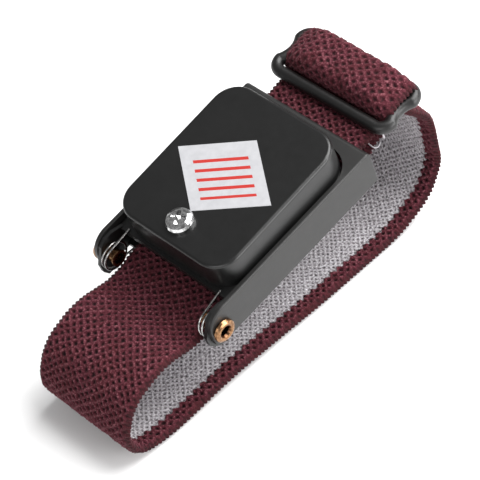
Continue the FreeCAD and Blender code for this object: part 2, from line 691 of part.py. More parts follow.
def biarc(p0, t0, p1, t1):
    """Two tangent arcs between two points with given directions."""
    chord = p1 - p0
    both = t0 + t1
    fold = 2 * (1 - t0.dot(t1))
    dot = chord.dot(both)
    d = (-dot + math.sqrt(dot * dot + fold * chord.dot(chord))) / fold
    joint = (p0 + p1 + (t0 - t1) * d) * 0.5
    return [arc_from(p0, t0, joint), arc_from(p1, t1 * -1, joint)]


def arc_from(start, way, end):
    chord = end - start
    half = chord.Length / 2
    unit = Vector(chord).normalize()
    side = way - unit * way.dot(unit)
    angle = math.atan2(side.Length, way.dot(unit))
    middle = (start + end) * 0.5 + side.normalize() * half * math.tan(angle / 2)
    return Part.Arc(start, middle, end).toShape()


def coil_point(angle, side, outer_y):
    """Point and direction on the coil, the angle counted from straight below."""
    radius, pitch = size("coil_radius"), size("coil_pitch")
    y = outer_y - pitch * angle / (2 * math.pi)
    point = Vector(-radius * math.sin(angle), side * y, -radius * math.cos(angle))
    way = Vector(-radius * math.cos(angle), -side * pitch / (2 * math.pi),
                 radius * math.sin(angle))
    return point, way.normalize()


def leave_angle(x, z):
    """Polar angle where a tangent of the coil leaves for a point beside it."""
    reach = math.hypot(x, z)
    side = 1 if z > 0 else -1
    return math.atan2(z, x) + side * math.acos(size("coil_radius") / reach)


def make_spring(name, side):
    """One leg under the floor's edge, the coil, and one leg over the plate's lip."""
    wire, seat = size("wire_radius"), size("leg_seat")
    outer_y = coil_outer_y() - size("coil_side_gap") - wire
    low_x = size("floor_left_x") - HINGE.x
    low_z = -wire - seat - HINGE.z
    tilt = math.radians(size("clamp_rest_angle"))
    lip_x = size("cover_left_x") - size("plate_lip") / 2 - HINGE.x
    lip_z = plate_top_z() - HINGE.z
    high_x = lip_x * math.cos(tilt) - lip_z * math.sin(tilt)
    high_z = lip_x * math.sin(tilt) + lip_z * math.cos(tilt) + wire + seat
    begin = -math.pi / 2 - leave_angle(low_x, low_z)
    finish_angle = 2 * math.pi + 3 * math.pi / 2 - leave_angle(high_x, high_z)
    count = 2 * math.ceil((finish_angle - begin) / math.radians(150))
    angles = [begin + (finish_angle - begin) * i / count for i in range(count + 1)]
    nodes = [coil_point(a, side, outer_y) for a in angles]
    p0, t0 = nodes[0]
    p1, t1 = nodes[-1]
    low_run = math.hypot(low_x, low_z) ** 2 - size("coil_radius") ** 2
    high_run = math.hypot(high_x, high_z) ** 2 - size("coil_radius") ** 2
    start = p0 - t0 * (math.sqrt(low_run) + size("spring_leg"))
    end = p1 + t1 * (math.sqrt(high_run) + size("plate_lip") * 0.4)
    edges = [Part.LineSegment(start, p0).toShape()]
    for (a, ta), (b, tb) in zip(nodes, nodes[1:]):
        edges.extend(biarc(a, ta, b, tb))
    edges.append(Part.LineSegment(p1, end).toShape())
    least_gap(name, begin, finish_angle, side, outer_y)
    return wire_solid(name, Part.__sortEdges__(edges), wire,
                      STAND.multiply(Placement(HINGE, Rotation())))


def least_gap(name, begin, end, side, outer_y):
    """Least distance between points of the coil half a turn or more apart."""
    steps = 120
    angles = [begin + (end - begin) * i / steps for i in range(steps + 1)]
    points = [coil_point(a, side, outer_y)[0] for a in angles]
    least = min(p.distanceToPoint(q)
                for p, a in zip(points, angles) for q, b in zip(points, angles)
                if b - a > math.pi)
    print(f"{name}: least gap to itself {least - 2 * size('wire_radius'):.2f} mm")


# Anchor pin, skin plate and rivets

def make_pin():
    body = new_body("anchor_pin")
    half, radius = size("pin_length") / 2, size("pin_radius")
    revolve(body, "pin_turned", [
        (0, -half), (radius - 0.3, -half), (radius, -half + 0.3), (radius, half - 0.3),
        (radius - 0.3, half), (0, half)], plane="XY_Plane")
    move = Placement(Vector(size("pin_x"), 0, size("pin_z")), Rotation())
    return finish(body, STAND.multiply(move))


def make_skin_plate():
    body = new_body("skin_plate")
    plan = new_sketch(body, "skin_plan", "XY_Plane", ("D.skin_x", "0", "-0.02"))
    rectangle(plan, "D.skin_length", "D.skin_width")
    pad(body, "skin", plan, "D.skin_thick", backwards=True)
    round_edges(body, "skin_corners", "D.skin_radius", lambda a, b: along(2, a, b))
    low = -0.02 - size("skin_thick")
    round_edges(body, "skin_rim", "D.skin_thick * 0.6",
                lambda a, b: same(a.z, low) and same(b.z, low))
    for index, (y_side, x_side) in enumerate(((-1, 1), (1, -1))):
        hole = new_sketch(body, f"skin_hole_{index}", "XY_Plane", (
            f"D.skin_x + {x_side} * (D.skin_length / 2 - D.rivet_inset)",
            f"{y_side} * (D.skin_width / 2 - D.rivet_inset)", "0"))
        circle(hole, "D.rivet_radius + 0.01")
        pocket(body, f"skin_bore_{index}", hole, "D.skin_thick + 1")
        seat = new_sketch(body, f"head_seat_{index}", "XY_Plane", (
            f"D.skin_x + {x_side} * (D.skin_length / 2 - D.rivet_inset)",
            f"{y_side} * (D.skin_width / 2 - D.rivet_inset)", "-0.02 - D.skin_thick"))
        circle(seat, "D.rivet_head_radius + 0.02")
        pocket(body, f"head_bore_{index}", seat, "D.rivet_head_depth + 0.02", backwards=True)
    return finish(body, STAND)


def make_plate_rivets():
    """Two rivets, their heads let into the skin side."""
    radius, head = size("rivet_radius"), size("rivet_head_radius")
    top = size("floor_thick")
    low = -0.02 - size("skin_thick")
    neck = low + size("rivet_head_depth")
    rivets = []
    for index, (y_side, x_side) in enumerate(((-1, 1), (1, -1))):
        rivet = new_body(f"rivet_{index}")
        revolve(rivet, f"rivet_turned_{index}", [
            (0, top), (radius, top), (radius, neck), (head, neck), (head, low + 0.12),
            (head - 0.12, low + 0.02), (0, low + 0.02)])
        x = size("skin_x") + x_side * (size("skin_length") / 2 - size("rivet_inset"))
        y = y_side * (size("skin_width") / 2 - size("rivet_inset"))
        rivet.Placement = Placement(Vector(x, y, 0), Rotation())
        rivets.append(rivet)
    group = doc.addObject("Part::Compound", "plate_rivets")
    group.Label = "plate_rivets"
    group.Links = rivets
    doc.recompute()
    return finish(group, STAND)


# Slider: a figure-of-eight ring of round bar with a centre bar

def make_slider():
    body = new_body("strap_slider")
    bar, slot = size("bar_radius"), size("slot_gap")
    half_y = size("slider_width") / 2 - bar
    pitch = slot + 2 * bar
    corner = min(size("slider_corner"), pitch - 0.2) - bar
    waist = size("waist_depth")
    path = new_sketch(body, "ring_path", "XY_Plane")
    for x_side in (-1, 1):
        x = x_side * pitch
        path.addGeometry(Part.LineSegment(Vector(x, -half_y + corner, 0),
                                          Vector(x, half_y - corner, 0)), False)
    s = math.sqrt(0.5)
    for x_side in (-1, 1):
        for y_side in (-1, 1):
            cx, cy = x_side * (pitch - corner), y_side * (half_y - corner)
            path.addGeometry(Part.Arc(
                Vector(cx + x_side * corner, cy, 0),
                Vector(cx + x_side * corner * s, cy + y_side * corner * s, 0),
                Vector(cx, cy + y_side * corner, 0)), False)
    for y_side in (-1, 1):
        end = pitch - corner
        path.addGeometry(Part.Arc(
            Vector(-end, y_side * half_y, 0), Vector(0, y_side * (half_y - waist), 0),
            Vector(end, y_side * half_y, 0)), False)
    section = new_sketch(body, "ring_section", "XZ_Plane", ("-(D.slot_gap + 2 * D.bar_radius)",
                                                            "0", "0"))
    circle(section, "D.bar_radius")
    ring = body.newObject("PartDesign::AdditivePipe", "ring")
    ring.Profile = section
    ring.Spine = path
    ring.Transition = "Round corner"
    doc.recompute()
    middle = new_sketch(body, "bar_section", "XZ_Plane")
    circle(middle, "D.bar_radius")
    pad(body, "centre_bar", middle, "D.slider_width - 2 * D.waist_depth - 2 * D.bar_radius",
        middle=True)
    move = Placement(Vector(size("slider_x"), 0, size("slider_z")), Rotation())
    return finish(body, STAND.multiply(move))


# Band stretches

def on_table(x, z):
    """Housing axes to table axes, in the plane of the band's centre line."""
    point = STAND.multVec(Vector(x, 0, z))
    return point.x, point.z


def shift(point, way, distance):
    """Point moved along a direction given by two numbers."""
    run = math.hypot(*way)
    return point[0] + way[0] / run * distance, point[1] + way[1] / run * distance


def make_band():
    """The band from its tail under the jaw, round the loop and into the slider."""
    half = size("band_thick") / 2
    on_floor = size("floor_thick") + size("seat_gap") + half
    hx, hz = HINGE.x, HINGE.z
    flange = size("inner_flange_radius") + 0.3 * size("band_thick")
    left = -size("loop_left_reach")
    right = on_table(size("slider_x"), size("slider_z"))[0] + size("loop_right_gap")
    high = size("loop_height")
    inside = [
        on_table(size("tail_end_x"), on_floor),
        on_table(size("floor_left_x") - size("band_thick"), on_floor),
        on_table(hx - 0.4 * size("band_thick"), hz - flange - half),
        on_table(hx - 3 * size("band_thick"), hz - flange - half)]
    around = [
        (left * 0.74, high), (left * 0.935, high * 0.815), (left * 1.009, high * 0.42),
        (left * 0.955, high * 0.113), (left * 0.81, half), (left * 0.67, half),
        (left * 0.4, high * 0.098), (left * 0.067, high * 0.067), (right * 0.18, half),
        (right * 0.69, half), (right * 0.905, high * 0.236), (right * 0.9885, high * 0.58)]
    way = (-0.098, 1.0)
    split = shift(around[-1], way, high * 0.26)
    band_piece("strap_band", inside + around + [split])
    bar, slot = size("bar_radius"), size("slot_gap")
    sx, sz = size("slider_x"), size("slider_z")
    thin = size("bridge_thick") / 2
    layer = bar + 2 * size("fold_gap") + size("fold_thick") + thin
    far_slot, near_slot = sx + layer, sx - layer
    entry = (far_slot + bar / 5, sz - bar - size("bridge_thick"))
    down = (0.1, -1.0)
    turn = [split, shift(split, way, size("turn_straight")),
            shift(entry, down, size("turn_entry")), shift(entry, down, size("node_gap"))]
    band_piece("strap_right_turn", turn[:2] + [on_table(*p) for p in turn[2:]])
    over = sz + bar + 2 * size("fold_gap") + thin
    top = over + 2.7 * thin
    far_edge = sx + slot + 2 * bar
    along_run = (1, 0.03)
    meet = (sx - slot - 3 * bar, sz - bar - size("fold_gap") - thin)
    bridge = [
        shift(meet, along_run, size("node_gap")),
        shift(meet, along_run, near_slot - meet[0]),
        (near_slot, sz + 2.5 * thin), (near_slot + 1.5 * thin, top - 0.15 * thin),
        (far_edge - 4.3 * thin, top + 0.4 * thin), (far_edge, top + 0.15 * thin),
        (far_edge, over), (far_edge - 2.6 * thin, over), shift(entry, down, -2.9 * bar), entry]
    band_piece("strap_bridge", [on_table(*p) for p in bridge], "bridge_thick")
    make_anchor_end(meet)


def make_anchor_end(meet):
    """Band round the anchor pin, its two runs, and its sewn end on the slider."""
    half, gap = size("band_thick") / 2, size("node_gap")
    px, pz = size("pin_x"), size("pin_z")
    ring = size("pin_radius") + size("fold_gap") + half
    straight = size("run_straight")
    exit_x = size("frame_right_x") + size("end_wall") / 4
    upper, lower = pz + ring, pz - ring
    band_piece("strap_anchor_loop", [on_table(*p) for p in (
        (exit_x, upper), (px - ring, upper), (px - ring, lower), (exit_x, lower))])
    band_piece("strap_upper_run", [on_table(*p) for p in (
        (exit_x, upper), (exit_x + straight, upper), shift(meet, (1, 0.03), -straight), meet)])
    sx, sz = size("slider_x"), size("slider_z")
    bar = size("bar_radius")
    wrap = bar + size("fold_gap") + size("fold_thick") / 2
    low_x = sx - 4 * bar
    low_z = run_height()
    tail_z = tail_height()
    band_piece("strap_lower_run", [on_table(*p) for p in (
        (exit_x, lower), (exit_x + straight, lower),
        (low_x - straight, low_z), (low_x, low_z))])
    fold = [
        (low_x + gap, low_z), (sx - 0.9 * bar, low_z), (sx + wrap, sz - wrap * 1.1),
        (sx + wrap, sz + wrap), (sx - wrap, sz + wrap), (sx - wrap, tail_z),
        (sx - size("fold_tail"), tail_z)]
    band_piece("strap_end_fold", [on_table(*p) for p in fold], "fold_thick")


def tail_height():
    """Centre line of the folded end, close under the band's upper run."""
    under = size("slider_z") - size("bar_radius") - size("fold_gap") - size("bridge_thick")
    return under - size("tail_gap") - size("fold_thick") / 2


def run_height():
    """Centre line of the lower run, close under the folded end."""
    return tail_height() - (size("fold_thick") + size("band_thick")) / 2 - size("node_gap")


def thread(name, position, rotation, length):
    """Straight bar of thread as a bound Part cylinder."""
    bar = doc.addObject("Part::Cylinder", name)
    bind(bar, "Radius", "D.stitch_radius")
    bind(bar, "Height", length)
    bar.Placement = Placement(position, rotation)
    return bar


def make_stitches():
    """Threads that hold the folded end: a row below it and a tack on each edge."""
    radius, length = size("stitch_radius"), size("stitch_length")
    count = int(size("stitch_count"))
    x = size("slider_x") - size("seam_offset")
    low = run_height() - size("fold_thick") / 2 - 0.03 - radius
    bars = []
    across = Rotation(Vector(1, 0, 0), -90)
    for i in range(count):
        y = (i - (count - 1) / 2) * size("stitch_pitch")
        bars.append(thread(f"thread_{i}", Vector(x, y - length / 2, low), across,
                           "D.stitch_length"))
    for side in (-1, 1):
        y = side * (size("band_width") / 2 + 0.03 + radius)
        bars.append(thread(f"tack_{(side + 1) // 2}", Vector(x, y, low - radius), Rotation(),
                           "D.fold_thick * 1.5 + D.band_thick / 2 + 2 * D.stitch_radius"))
    group = doc.addObject("Part::Compound", "fold_stitches")
    group.Label = "fold_stitches"
    group.Links = bars
    doc.recompute()
    return finish(group, STAND)


def check_and_write():
    doc.recompute()
    for item in doc.Objects:
        if "Invalid" in item.State or "Error" in item.State:
            raise RuntimeError(f"{item.Name} failed: {item.State}")
    os.makedirs("parts", exist_ok=True)
    for item in SUB_PARTS:
        shape = item.Shape
        if shape.isNull() or not shape.isValid():
            raise RuntimeError(f"{item.Label} has no valid shape")
        shape.exportStep(f"parts/{item.Label}.step")
        box = shape.BoundBox
        print(f"{item.Label}: {len(shape.Solids)} solids, {shape.Volume:.1f} mm3, "
              f"x {box.XMin:.1f}..{box.XMax:.1f} y {box.YMin:.1f}..{box.YMax:.1f} "
              f"z {box.ZMin:.1f}..{box.ZMax:.1f}")


make_frame()
make_eyelet("eyelet_near", -1)
make_eyelet("eyelet_far", 1)
make_spring("spring_near", -1)
make_spring("spring_far", 1)
make_pin()
make_skin_plate()
make_plate_rivets()
make_clamp_plate()
make_jaw()
make_cover()
make_screw()
make_insert()
make_terminal()
make_resistor()
make_leads()
make_contact_strip()
make_label()
make_slider()
make_band()
make_stitches()
check_and_write()
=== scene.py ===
import json
import math

import bmesh
import bpy
import numpy as np
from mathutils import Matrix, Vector


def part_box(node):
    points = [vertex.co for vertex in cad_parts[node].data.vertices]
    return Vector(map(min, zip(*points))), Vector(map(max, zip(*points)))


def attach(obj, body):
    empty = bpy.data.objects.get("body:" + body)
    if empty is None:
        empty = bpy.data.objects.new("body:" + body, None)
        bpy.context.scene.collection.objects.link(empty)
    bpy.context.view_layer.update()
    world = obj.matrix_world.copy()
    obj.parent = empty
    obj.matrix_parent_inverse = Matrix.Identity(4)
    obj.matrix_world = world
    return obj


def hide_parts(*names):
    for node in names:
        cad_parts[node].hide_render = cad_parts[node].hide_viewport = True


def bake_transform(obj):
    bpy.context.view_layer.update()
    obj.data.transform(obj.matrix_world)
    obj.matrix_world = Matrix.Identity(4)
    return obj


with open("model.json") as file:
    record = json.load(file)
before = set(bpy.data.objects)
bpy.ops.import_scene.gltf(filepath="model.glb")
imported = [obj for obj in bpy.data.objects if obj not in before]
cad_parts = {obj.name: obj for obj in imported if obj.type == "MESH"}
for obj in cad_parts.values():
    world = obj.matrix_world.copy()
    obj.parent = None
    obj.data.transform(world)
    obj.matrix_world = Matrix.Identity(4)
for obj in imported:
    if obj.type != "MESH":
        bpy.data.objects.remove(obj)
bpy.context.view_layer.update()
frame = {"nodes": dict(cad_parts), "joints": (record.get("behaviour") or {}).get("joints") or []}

MM = 0.001

# Sizes of the knitted band, in millimetres
BAND_WIDTH = 25.0
BAND_HALF = 0.84
BRIDGE_HALF = 0.62
FOLD_HALF = 0.42
WALE_PITCH = 1.8
COURSE_PITCH = 2.02
LINING_PITCH = 0.70
SCALLOP_PITCH = 0.95
TOOTH_PITCH = 1.95
SELVAGE = 3.2
STEP_ALONG = 0.16
STEP_ACROSS = 0.17

# Relief of its stitches, in millimetres, and the share of it that the lining has
CORD_RELIEF = 0.46
PIT_RELIEF = 0.16
WAVE_RELIEF = 0.04
LINING_RELIEF = 0.55
EDGE_REACH = 1.0
SCALLOP_REST = 0.18
SCALLOP_DEPTH = 0.50
TOOTH_HEIGHT = 0.95

# The heap on the slider: how far its ends fall and how much wider it gets, near and far
HEAP_START = 3.6
HEAP_END = 3.4
HEAP_RAMP = 2.2
FALL_NEAR = 2.2
FALL_FAR = 2.9
SPREAD_NEAR = 0.15
SPREAD_FAR = 0.14

# The camera, fitted to the photograph
CAMERA_PLACE = (-180.27, -238.75, 338.16)
CAMERA_TURN = (42.4986, 7.4610, -45.1053)
CAMERA_LENS = 167.06

# Soft lights: name, place and size in metres, power in watts
LIGHTS = [
    ("key", (0.42, -0.14, 0.66), (0.7, 0.7), 13.0),
    ("front", (0.24, -0.64, 0.24), (0.6, 0.3), 5.0),
    ("left", (-0.60, -0.25, 0.36), (0.6, 0.4), 2.2)]
LIGHT_TARGET = (0, 0, 0.02)
SKY_STRENGTH = 0.32

JOINTS = {j["name"]: j for j in frame["joints"]}
PIVOT = np.array(JOINTS["clamp_hinge"]["pos_m"]) / MM
RUN_WAY = np.array(JOINTS["slider_travel"]["axis"])
HINGE = (-22.8, 3.7)
UP = np.array([-RUN_WAY[2], RUN_WAY[0]])


def on_table(x, z):
    """A point in the housing's own axes, placed on the tilted housing, in millimetres."""
    dx, dz = x - HINGE[0], z - HINGE[1]
    c, s = RUN_WAY[0], RUN_WAY[2]
    return PIVOT[0] + c * dx - s * dz, PIVOT[2] + s * dx + c * dz


# Materials

class Nodes:
    """A short way to write a node tree round one Principled shader."""

    def __init__(self, name):
        self.material = bpy.data.materials.new(name)
        self.material.use_nodes = True
        self.tree = self.material.node_tree
        self.shader = self.tree.nodes["Principled BSDF"]

    def add(self, kind, **values):
        node = self.tree.nodes.new(kind)
        for key, value in values.items():
            if hasattr(node, key):
                setattr(node, key, value)
            else:
                node.inputs[key.replace("_", " ")].default_value = value
        return node

    def link(self, a, b):
        self.tree.links.new(a, b)
        return self

    def set(self, **values):
        for key, value in values.items():
            self.shader.inputs[key.replace("_", " ")].default_value = value
        return self

    def noise(self, scale, detail=3.0, rough=0.55, vector=None):
        node = self.add("ShaderNodeTexNoise", Scale=scale, Detail=detail, Roughness=rough)
        if vector is None:
            vector = self.add("ShaderNodeTexCoord").outputs["Object"]
        self.link(vector, node.inputs["Vector"])
        return node.outputs["Fac"]

    def ramp(self, fac, stops):
        node = self.add("ShaderNodeValToRGB")
        while len(node.color_ramp.elements) < len(stops):
            node.color_ramp.elements.new(0.5)
        for element, (place, colour) in zip(node.color_ramp.elements, stops):
            element.position = place
            element.color = (*colour, 1) if len(colour) == 3 else colour
        self.link(fac, node.inputs["Fac"])
        return node.outputs["Color"]

    def span(self, fac, low, high, start=0.0, end=1.0):
        node = self.add("ShaderNodeMapRange")
        for key, value in (("From Min", start), ("From Max", end), ("To Min", low),
                           ("To Max", high)):
            node.inputs[key].default_value = value
        self.link(fac, node.inputs["Value"])
        return node.outputs["Result"]

    def mix(self, fac, a, b, kind="MIX"):
        node = self.add("ShaderNodeMix", data_type="RGBA", blend_type=kind)
        for socket, value in ((node.inputs[0], fac), (node.inputs[6], a), (node.inputs[7], b)):
            if isinstance(value, bpy.types.NodeSocket):
                self.link(value, socket)
            elif isinstance(value, tuple):
                socket.default_value = (*value, 1)
            else:
                socket.default_value = value
        return node.outputs[2]

    def bump(self, height, distance, strength=1.0):
        node = self.add("ShaderNodeBump", Distance=distance, Strength=strength)
        self.link(height, node.inputs["Height"])
        return node.outputs["Normal"]


def plastic(name, colour, roughness, grain=0.00002, grain_scale=9000, wear=0.35):
    """Moulded plastic: fine spark texture, faint cloudiness and slightly worn gloss."""
    m = Nodes(name)
    cloud = m.noise(180, 4.0)
    shade = tuple(min(1.0, c * (1 + wear)) for c in colour)
    m.link(m.ramp(cloud, [(0.3, colour), (0.75, shade)]), m.shader.inputs["Base Color"])
    m.link(m.span(m.noise(700, 5.0), roughness - 0.05, roughness + 0.07),
           m.shader.inputs["Roughness"])
    fine = m.bump(m.noise(grain_scale, 2.0), grain, 0.6)
    m.link(fine, m.shader.inputs["Normal"])
    return m.material


def metal(name, colour, roughness, dark=0.75, scratch=0.000004, scale=900):
    """Bare metal: fine drawn scratches, patchy tarnish and uneven polish."""
    m = Nodes(name)
    m.set(Metallic=1.0)
    shade = tuple(c * dark for c in colour)
    m.link(m.ramp(m.noise(scale, 5.0), [(0.3, shade), (0.62, colour)]),
           m.shader.inputs["Base Color"])
    m.link(m.span(m.noise(scale * 2.5, 4.0), roughness * 0.75, roughness * 1.35),
           m.shader.inputs["Roughness"])
    place = m.add("ShaderNodeMapping")
    place.inputs["Scale"].default_value = (1.0, 14.0, 1.0)
    m.link(m.add("ShaderNodeTexCoord").outputs["Object"], place.inputs["Vector"])
    lines = m.noise(scale * 3, 3.0, vector=place.outputs["Vector"])
    m.link(m.bump(lines, scratch, 0.5), m.shader.inputs["Normal"])
    return m.material


def knit_material():
    """Knit yarn, coloured by the stitch attributes that the band's mesh carries, with painted
    shade in the holes and painted highlight and shade on the strands.
    """
    m = Nodes("band_knit_yarn")
    pit = m.add("ShaderNodeAttribute", attribute_name="pit").outputs["Fac"]
    zone = m.add("ShaderNodeAttribute", attribute_name="zone").outputs["Fac"]
    cord = m.add("ShaderNodeAttribute", attribute_name="cord").outputs["Fac"]
    yarn = m.noise(2600, 3.0, 0.7)
    strand_shade_and_tone = m.add("ShaderNodeMath", operation="MULTIPLY_ADD")
    m.link(cord, strand_shade_and_tone.inputs[0]).link(yarn, strand_shade_and_tone.inputs[2])
    strand_shade_and_tone.inputs[1].default_value = 0.30
    patch = m.noise(220, 2.0)
    # Painted highlight and shade: the ramps make the raised strands lighter and the dips between
    # them darker; the yarn noise adds real tone
    red = m.ramp(strand_shade_and_tone.outputs[0], [(0.38, (0.010, 0.003, 0.004)), (0.58, (0.042, 0.0060, 0.010)),
                                   (0.76, (0.088, 0.0150, 0.025)), (0.95, (0.24, 0.085, 0.10))])
    red = m.mix(m.span(patch, 0.0, 0.35, 0.35, 0.7), red, (0.060, 0.008, 0.009))
    # The same painted highlight and shade on the strands of the grey lining
    grey = m.ramp(strand_shade_and_tone.outputs[0], [(0.36, (0.10, 0.09, 0.094)), (0.58, (0.33, 0.31, 0.325)),
                                    (0.80, (0.70, 0.68, 0.71))])
    yarns = m.mix(zone, red, grey)
    # Painted shade: the holes between stitches get a near-black yarn colour, mixed in by the pit
    # attribute
    pit_shade = m.mix(zone, (0.008, 0.0020, 0.003), (0.035, 0.030, 0.034))
    m.link(m.mix(pit, yarns, pit_shade), m.shader.inputs["Base Color"])
    m.set(Roughness=0.85, Specular_IOR_Level=0.2, Sheen_Weight=0.06, Sheen_Roughness=0.5)
    m.shader.inputs["Sheen Tint"].default_value = (0.80, 0.55, 0.56, 1)
    fibre = m.bump(m.noise(4200, 3.0, 0.7), 0.00020, 1.0)
    m.link(fibre, m.shader.inputs["Normal"])
    return m.material


def label_material():
    """White sticker with five plain printed bars."""
    m = Nodes("label_print")
    low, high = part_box("cover_label")
    middle = (low + high) / 2
    place = m.add("ShaderNodeMapping")
    place.inputs["Location"].default_value = (-middle.x, -middle.y, 0)
    m.link(m.add("ShaderNodeTexCoord").outputs["Object"], place.inputs["Vector"])
    split = m.add("ShaderNodeSeparateXYZ")
    m.link(place.outputs["Vector"], split.inputs["Vector"])

    def calc(kind, a, b=None):
        node = m.add("ShaderNodeMath", operation=kind)
        for socket, value in zip(node.inputs, (a, b)):
            if isinstance(value, bpy.types.NodeSocket):
                m.link(value, socket)
            elif value is not None:
                socket.default_value = value
        return node.outputs["Value"]

    ax = calc("ABSOLUTE", calc("DIVIDE", split.outputs["X"], (high.x - low.x) / 2))
    ay = calc("ABSOLUTE", calc("DIVIDE", split.outputs["Y"], (high.y - low.y) / 2))
    ring = calc("ADD", ax, ay)
    across = calc("ADD", calc("DIVIDE", split.outputs["X"], (high.x - low.x) / 2),
                  calc("DIVIDE", split.outputs["Y"], (high.y - low.y) / 2))
    lines = calc("LESS_THAN", calc("FRACT", calc("MULTIPLY_ADD", across, 3.5)), 0.34)
    field = calc("LESS_THAN", ring, 0.70)
    ink = calc("MULTIPLY", lines, field)
    paper = m.ramp(m.noise(600, 4.0), [(0.3, (0.37, 0.37, 0.385)), (0.7, (0.42, 0.42, 0.435))])
    m.link(m.mix(ink, paper, (0.40, 0.022, 0.016)), m.shader.inputs["Base Color"])
    m.set(Roughness=0.42)
    m.link(m.bump(m.noise(2500, 3.0), 0.00001, 0.5), m.shader.inputs["Normal"])
    return m.material


def brass_eyelet():
    """Rolled brass, bright on the lip and darker brown towards the bore."""
    m = Nodes("eyelet_brass")
    m.set(Metallic=1.0)
    place = m.add("ShaderNodeMapping")
    place.inputs["Location"].default_value = (-PIVOT[0] * MM, 0, -PIVOT[2] * MM)
    place.inputs["Scale"].default_value = (1, 0, 1)
    m.link(m.add("ShaderNodeTexCoord").outputs["Object"], place.inputs["Vector"])
    away = m.add("ShaderNodeVectorMath", operation="LENGTH")
    m.link(place.outputs["Vector"], away.inputs[0])
    radius = away.outputs["Value"]
    patch = m.noise(1400, 4.0, 0.7)
    lip = m.ramp(patch, [(0.30, (0.15, 0.070, 0.032)), (0.55, (0.33, 0.180, 0.090)),
                         (0.75, (0.52, 0.33, 0.19))])
    bore = m.span(radius, 1.0, 0.0, 1.15 * MM, 1.55 * MM)
    m.link(m.mix(bore, lip, (0.10, 0.048, 0.026)), m.shader.inputs["Base Color"])
    m.link(m.span(patch, 0.34, 0.18), m.shader.inputs["Roughness"])
    m.link(m.bump(m.noise(3800, 3.0), 0.00001, 0.6), m.shader.inputs["Normal"])
    return m.material


MATERIALS = {
    "frame": plastic("frame_satin", (0.008, 0.0077, 0.0074), 0.42),
    "cover": plastic("cover_satin", (0.004, 0.004, 0.004), 0.30),
    "lever": plastic("lever_satin", (0.003, 0.003, 0.003), 0.40),
    "slider": plastic("slider_gloss", (0.004, 0.0037, 0.0036), 0.40, grain=0.00001),
    "resistor": plastic("resistor_coat", (0.42, 0.32, 0.20), 0.30, grain=0.000004),
    "brass": brass_eyelet(),
    "turned_brass": metal("turned_brass", (0.76, 0.58, 0.30), 0.30),
    "wire": metal("spring_wire", (0.52, 0.51, 0.50), 0.22, dark=0.35, scale=1800),
    "steel": metal("ground_steel", (0.60, 0.60, 0.61), 0.26),
    "jaw": metal("jaw_steel", (0.48, 0.48, 0.50), 0.38),
    "chrome": metal("screw_chrome", (0.80, 0.80, 0.80), 0.10, dark=0.25, scale=1500),
    "tin": metal("tinned_copper", (0.74, 0.72, 0.68), 0.32),
    "label": label_material(),
    "knit": knit_material(),
    "thread": plastic("seam_thread", (0.42, 0.40, 0.42), 0.75, grain=0.00005,
                      grain_scale=4000),
}

NODE_MATERIALS = {
    "frame_channel": "frame", "eyelet_near": "brass", "eyelet_far": "brass",
    "spring_near": "wire", "spring_far": "wire", "anchor_pin": "steel",
    "skin_plate": "steel", "plate_rivets": "steel", "clamp_plate": "lever",
    "clamp_jaw": "jaw", "cover_shell": "cover", "discharge_screw": "chrome",
    "threaded_insert": "turned_brass", "lead_terminal": "tin", "resistor_body": "resistor",
    "resistor_lead_front": "tin", "resistor_lead_rear": "tin",
    "contact_strip": "turned_brass", "cover_label": "label", "strap_slider": "slider",
    "fold_stitches": "thread",
}


def paint(obj, material):
    obj.data.materials.clear()
    obj.data.materials.append(material)


for node, key in NODE_MATERIALS.items():
    paint(frame["nodes"][node], MATERIALS[key])


# The band's route: one length, from its tail in the housing to its sewn end

def rounded_path(points, step=0.05):
    """Points along straight runs joined by tangent arcs, at even steps."""
    pts = [np.array(p, float) for p in points]
    line = [pts[0]]
    for before, here, after in zip(pts, pts[1:], pts[2:]):
        a, b = here - before, after - here
        la, lb = np.linalg.norm(a), np.linalg.norm(b)
        ua, ub = a / la, b / lb
        run = min(la, lb) * 0.45
        for t in np.linspace(0, 1, 24):
            enter, leave = here - ua * run, here + ub * run
            line.append((1 - t) ** 2 * enter + 2 * t * (1 - t) * here + t * t * leave)
    line.append(pts[-1])
    line = np.array(line)
    gaps = np.linalg.norm(np.diff(line, axis=0), axis=1)
    keep = np.concatenate([[True], gaps > 1e-6])
    line = line[keep]
    s = np.concatenate([[0], np.cumsum(np.linalg.norm(np.diff(line, axis=0), axis=1))])
    even = np.arange(0, s[-1], step)
    return np.stack([np.interp(even, s, line[:, k]) for k in (0, 1)], axis=1)


def shift(point, way, distance):
    run = math.hypot(*way)
    return point[0] + way[0] / run * distance, point[1] + way[1] / run * distance


SLIDER_X, SLIDER_Z, BAR, SLOT = 32.25, 8.2, 1.3, 2.8
PIN_X, PIN_Z, PIN_R = 17.6, 4.15, 1.0
FRAME_END, END_WALL = 21.3, 3.15


